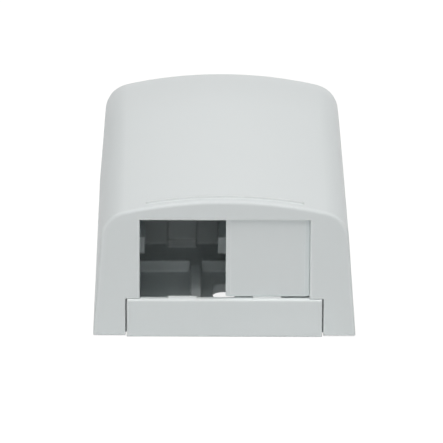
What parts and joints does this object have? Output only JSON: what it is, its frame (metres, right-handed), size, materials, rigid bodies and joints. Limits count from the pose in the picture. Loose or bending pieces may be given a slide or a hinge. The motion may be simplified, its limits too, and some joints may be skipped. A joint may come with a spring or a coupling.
{
  "type": "surface mount jack box",
  "caption": "Low surface mount box with a clip-on arched cover, a screw-down base and a blank insert closing one of its front jack ports.",
  "frame": {"origin": "middle of the footprint, on the mounting surface", "axes": "+Z away from the mounting surface, -Y out of the ports, +X to the right when the ports are faced from the front"},
  "size_m": [0.0492, 0.0931, 0.0272],
  "materials": {
    "base_plastic": "fine satin off-white moulding",
    "cover_plastic": "fine satin off-white moulding",
    "insert_plastic": "fine satin off-white moulding"
  },
  "bodies": {
    "base": {"base": "base_plastic"},
    "cover": {"cover": "cover_plastic"},
    "blank": {"blank_insert": "insert_plastic"}
  },
  "joints": [
    {"name": "cover_lift", "type": "slide", "parent": "base", "child": "cover", "axis": [0, 0, 1], "range_m": [0, 0.03]},
    {"name": "blank_pull", "type": "slide", "parent": "base", "child": "blank", "axis": [0, -1, 0], "range_m": [0, 0.024]}
  ]
}
